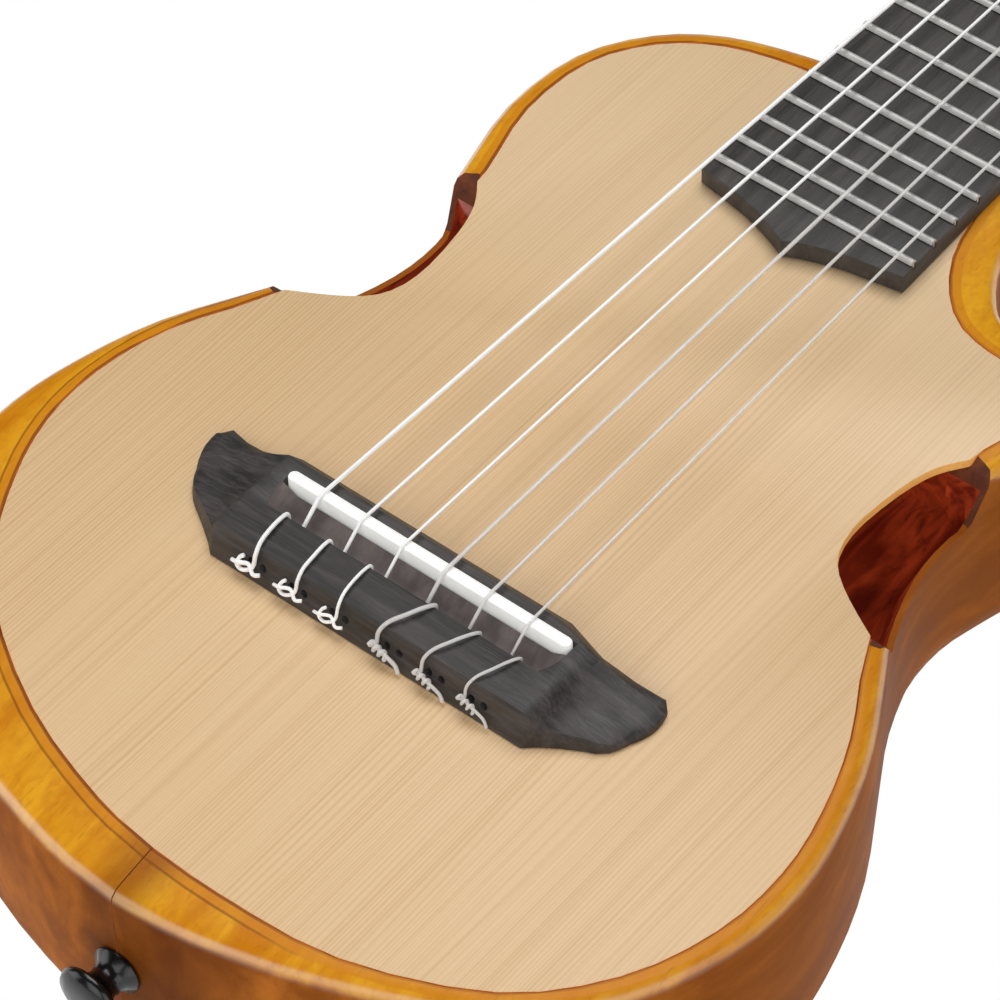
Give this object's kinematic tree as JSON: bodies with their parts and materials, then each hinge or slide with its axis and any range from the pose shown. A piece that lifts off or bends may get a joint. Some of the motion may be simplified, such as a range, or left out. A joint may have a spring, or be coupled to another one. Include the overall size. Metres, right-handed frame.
{
  "type": "guitalele",
  "caption": "Small six-string nylon guitar with carved cutaway body, waist sound ports, tie bridge, fretted neck and geared tuners.",
  "frame": {"origin": "middle of the footprint at the flat back's plane", "axes": "+Z out of the soundboard, +Y from the tail to the head, +X to the treble side"},
  "size_m": [0.2208, 0.6856, 0.0714],
  "materials": {
    "amber_body": "gloss lacquer over amber stain",
    "spruce_top": "satin, straight grain",
    "brace_wood": "bare",
    "bridge_wood": "open grain, satin",
    "bone": "polished",
    "neck_wood": "satin",
    "face_wood": "satin",
    "fingerboard_wood": "satin",
    "fret_wire": "polished",
    "nylon": "clear",
    "wound": "fine wound",
    "button_black": "gloss",
    "bushing_metal": "black",
    "post_metal": "black",
    "key_metal": "black",
    "plate_metal": "black"
  },
  "bodies": {
    "instrument": {"body_half_bass": "amber_body", "body_half_treble": "amber_body", "soundboard": "spruce_top", "brace_upper": "brace_wood", "brace_lower": "brace_wood", "bridge_plate": "brace_wood", "bridge": "bridge_wood", "saddle": "bone", "neck": "neck_wood", "headstock_overlay": "face_wood", "fingerboard": "fingerboard_wood", "nut": "bone", "strap_button": "button_black", "fret_01": "fret_wire", "fret_02": "fret_wire", "fret_03": "fret_wire", "fret_04": "fret_wire", "fret_05": "fret_wire", "fret_06": "fret_wire", "fret_07": "fret_wire", "fret_08": "fret_wire", "fret_09": "fret_wire", "fret_10": "fret_wire", "fret_11": "fret_wire", "fret_12": "fret_wire", "fret_13": "fret_wire", "fret_14": "fret_wire", "fret_15": "fret_wire", "fret_16": "fret_wire", "fret_17": "fret_wire", "fret_18": "fret_wire", "fret_19": "fret_wire", "fret_20": "fret_wire", "string_1": "nylon", "string_2": "nylon", "string_3": "nylon", "string_4": "wound", "string_5": "wound", "string_6": "wound", "post_bushing_1": "bushing_metal", "post_bushing_2": "bushing_metal", "post_bushing_3": "bushing_metal", "post_bushing_4": "bushing_metal", "post_bushing_5": "bushing_metal", "post_bushing_6": "bushing_metal", "tuner_plate_bass": "plate_metal", "tuner_plate_treble": "plate_metal"},
    "key_1": {"tuner_key_1": "key_metal"},
    "post_1": {"tuner_post_1": "post_metal"},
    "key_2": {"tuner_key_2": "key_metal"},
    "post_2": {"tuner_post_2": "post_metal"},
    "key_3": {"tuner_key_3": "key_metal"},
    "post_3": {"tuner_post_3": "post_metal"},
    "key_4": {"tuner_key_4": "key_metal"},
    "post_4": {"tuner_post_4": "post_metal"},
    "key_5": {"tuner_key_5": "key_metal"},
    "post_5": {"tuner_post_5": "post_metal"},
    "key_6": {"tuner_key_6": "key_metal"},
    "post_6": {"tuner_post_6": "post_metal"}
  },
  "joints": [
    {"name": "key_turn_1", "type": "hinge", "parent": "instrument", "child": "key_1", "pos_m": [0.02, 0.22864, 0.03648], "axis": [1, 0, 0], "continuous": true},
    {"name": "post_turn_1", "type": "hinge", "parent": "instrument", "child": "post_1", "pos_m": [0.02, 0.23711, 0.03499], "axis": [0, 0.1736, 0.9848], "continuous": true},
    {"name": "key_turn_2", "type": "hinge", "parent": "instrument", "child": "key_2", "pos_m": [0.02, 0.2631, 0.0304], "axis": [1, 0, 0], "continuous": true},
    {"name": "post_turn_2", "type": "hinge", "parent": "instrument", "child": "post_2", "pos_m": [0.02, 0.27157, 0.02891], "axis": [0, 0.1736, 0.9848], "continuous": true},
    {"name": "key_turn_3", "type": "hinge", "parent": "instrument", "child": "key_3", "pos_m": [0.02, 0.29757, 0.02433], "axis": [1, 0, 0], "continuous": true},
    {"name": "post_turn_3", "type": "hinge", "parent": "instrument", "child": "post_3", "pos_m": [0.02, 0.30604, 0.02283], "axis": [0, 0.1736, 0.9848], "continuous": true},
    {"name": "key_turn_4", "type": "hinge", "parent": "instrument", "child": "key_4", "pos_m": [-0.02, 0.29757, 0.02433], "axis": [1, 0, 0], "continuous": true},
    {"name": "post_turn_4", "type": "hinge", "parent": "instrument", "child": "post_4", "pos_m": [-0.02, 0.30604, 0.02283], "axis": [0, 0.1736, 0.9848], "continuous": true},
    {"name": "key_turn_5", "type": "hinge", "parent": "instrument", "child": "key_5", "pos_m": [-0.02, 0.2631, 0.0304], "axis": [1, 0, 0], "continuous": true},
    {"name": "post_turn_5", "type": "hinge", "parent": "instrument", "child": "post_5", "pos_m": [-0.02, 0.27157, 0.02891], "axis": [0, 0.1736, 0.9848], "continuous": true},
    {"name": "key_turn_6", "type": "hinge", "parent": "instrument", "child": "key_6", "pos_m": [-0.02, 0.22864, 0.03648], "axis": [1, 0, 0], "continuous": true},
    {"name": "post_turn_6", "type": "hinge", "parent": "instrument", "child": "post_6", "pos_m": [-0.02, 0.23711, 0.03499], "axis": [0, 0.1736, 0.9848], "continuous": true}
  ],
  "couplings": [
    {"joint": "post_turn_1", "follows": "key_turn_1", "ratio": -0.071429},
    {"joint": "post_turn_2", "follows": "key_turn_2", "ratio": -0.071429},
    {"joint": "post_turn_3", "follows": "key_turn_3", "ratio": -0.071429},
    {"joint": "post_turn_4", "follows": "key_turn_4", "ratio": -0.071429},
    {"joint": "post_turn_5", "follows": "key_turn_5", "ratio": -0.071429},
    {"joint": "post_turn_6", "follows": "key_turn_6", "ratio": -0.071429}
  ]
}
